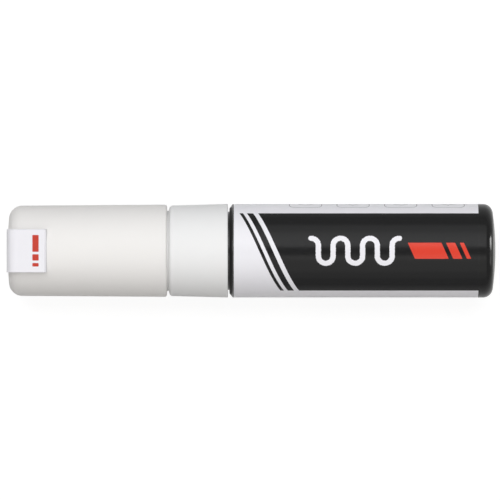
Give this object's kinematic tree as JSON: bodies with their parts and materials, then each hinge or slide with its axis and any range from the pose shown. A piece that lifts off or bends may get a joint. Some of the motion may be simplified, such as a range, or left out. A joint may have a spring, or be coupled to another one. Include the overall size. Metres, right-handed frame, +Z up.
{
  "type": "liquid chalk marker",
  "caption": "Capped liquid chalk marker: pull-off cap with a strap over its crown, ink-colour collar, film-wrapped barrel, and a sprung valve that the chisel nib pushes open.",
  "frame": {"origin": "on the surface that the marker lies on, below the middle of its length", "axes": "+X along the marker from the cap to the tail, +Y across it, +Z up away from the surface, with the cap strap's lower face on the surface"},
  "size_m": [0.1396, 0.0268, 0.0268],
  "materials": {
    "cap_plastic": "fine moulded satin, warm off-white",
    "strap_plastic": "smooth gloss, cool white",
    "liner_plastic": "soft natural polyethylene",
    "collar_plastic": "fine moulded satin, neutral off-white",
    "holder_plastic": "smooth satin, natural white",
    "nib_fibre": "pressed fibre",
    "wick_fibre": "loose fibre",
    "valve_plastic": "smooth satin, natural white",
    "seal_rubber": "matt black",
    "spring_steel": "bright drawn wire",
    "black_plastic": "smooth semi-gloss black",
    "printed_film": "satin printed film, black and white",
    "ball_steel": "polished"
  },
  "bodies": {
    "marker_body": {"barrel": "black_plastic", "barrel_film": "printed_film", "tail_plug": "black_plastic", "front_collar": "collar_plastic", "nib_holder": "holder_plastic", "overflow_wick": "wick_fibre", "valve_housing": "valve_plastic", "valve_gasket": "seal_rubber", "valve_spring": "spring_steel", "spring_retainer": "valve_plastic"},
    "cap": {"cap_shell": "cap_plastic", "cap_strap": "strap_plastic", "inner_cap": "liner_plastic"},
    "nib": {"chisel_nib": "nib_fibre"},
    "plunger": {"valve_stem": "valve_plastic", "stem_seal": "seal_rubber"},
    "ball_left": {"mixing_ball_left": "ball_steel"},
    "ball_right": {"mixing_ball_right": "ball_steel"}
  },
  "joints": [
    {"name": "cap_pull", "type": "slide", "parent": "marker_body", "child": "cap", "axis": [-1, 0, 0], "range_m": [0, 0.045]},
    {"name": "nib_press", "type": "slide", "parent": "marker_body", "child": "nib", "axis": [1, 0, 0], "range_m": [0, 0.002], "stiffness_N_per_m": 400, "springref_m": -0.002},
    {"name": "valve_lift", "type": "slide", "parent": "marker_body", "child": "plunger", "axis": [1, 0, 0], "range_m": [0, 0.002], "deforming": ["valve_spring"]},
    {"name": "ball_left_roll", "type": "slide", "parent": "marker_body", "child": "ball_left", "axis": [1, 0, 0], "range_m": [-0.01914, 0.03686]},
    {"name": "ball_right_roll", "type": "slide", "parent": "marker_body", "child": "ball_right", "axis": [1, 0, 0], "range_m": [-0.03514, 0.02086]}
  ],
  "couplings": [
    {"joint": "valve_lift", "follows": "nib_press", "ratio": 1}
  ]
}
